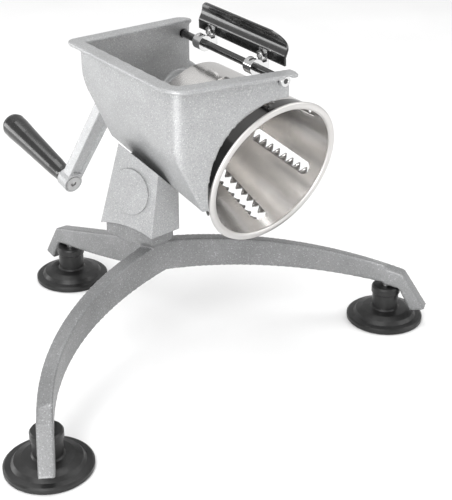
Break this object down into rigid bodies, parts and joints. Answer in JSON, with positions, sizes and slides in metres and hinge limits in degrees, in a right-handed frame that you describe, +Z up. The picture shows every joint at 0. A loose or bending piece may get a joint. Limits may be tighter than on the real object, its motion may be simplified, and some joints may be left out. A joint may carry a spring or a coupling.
{
  "type": "rotary drum grater",
  "caption": "Hand-cranked rotary drum grater: raked hopper on a leaning column, tapered grating drum, crank with grip, three-legged base on suction feet.",
  "frame": {"origin": "on the floor, under the middle of the whole part's box", "axes": "+Z up; the drum's mouth faces -Y and 15 degrees down; the crank is at the +Y end; +X to the right seen from the mouth"},
  "size_m": [0.3612, 0.3592, 0.2341],
  "materials": {
    "base_paint": "grey hammered metallic paint",
    "head_paint": "silver glitter paint",
    "foot_rubber": "moulded black rubber",
    "drum_steel": "turned stainless steel",
    "zinc_steel": "zinc plated steel",
    "bush_brass": "sintered bearing metal",
    "chrome": "bright chrome plate",
    "grip_plastic": "black satin plastic",
    "flap_plastic": "black gloss lacquer"
  },
  "bodies": {
    "frame": {"tripod_base": "base_paint", "suction_foot_left": "foot_rubber", "suction_foot_right": "foot_rubber", "suction_foot_rear": "foot_rubber", "foot_studs": "zinc_steel", "column": "head_paint", "column_bolts": "zinc_steel", "column_washers": "zinc_steel", "hopper_housing": "head_paint", "housing_screws": "zinc_steel", "shaft_bush": "bush_brass", "hinge_rod": "chrome", "rod_end_nuts": "chrome"},
    "crank": {"drive_shaft": "zinc_steel", "shaft_collar": "zinc_steel", "drive_hub": "zinc_steel", "hub_pin": "zinc_steel", "drum_shell": "drum_steel", "drum_base": "drum_steel", "crank_arm": "base_paint", "crank_washer": "zinc_steel", "crank_nut": "zinc_steel", "grip_bolt": "zinc_steel", "grip_washer": "zinc_steel"},
    "handle": {"grip": "grip_plastic"},
    "flap": {"pusher_flap": "flap_plastic", "flap_clamps": "chrome", "clamp_screws": "chrome", "clamp_nuts": "chrome"}
  },
  "joints": [
    {"name": "crank_spin", "type": "hinge", "parent": "frame", "child": "crank", "pos_m": [0.0645, -0.1164, 0.1324], "axis": [0, -0.9659, -0.2588], "continuous": true},
    {"name": "grip_spin", "type": "hinge", "parent": "crank", "child": "handle", "pos_m": [0.0182, 0.08073, 0.07285], "axis": [0, 0.9659, 0.2588], "continuous": true},
    {"name": "flap_swing", "type": "hinge", "parent": "frame", "child": "flap", "pos_m": [0.0595, -0.1282, 0.2054], "axis": [-0.0836, -0.9961, -0.0297], "range_deg": [0, 125]}
  ]
}
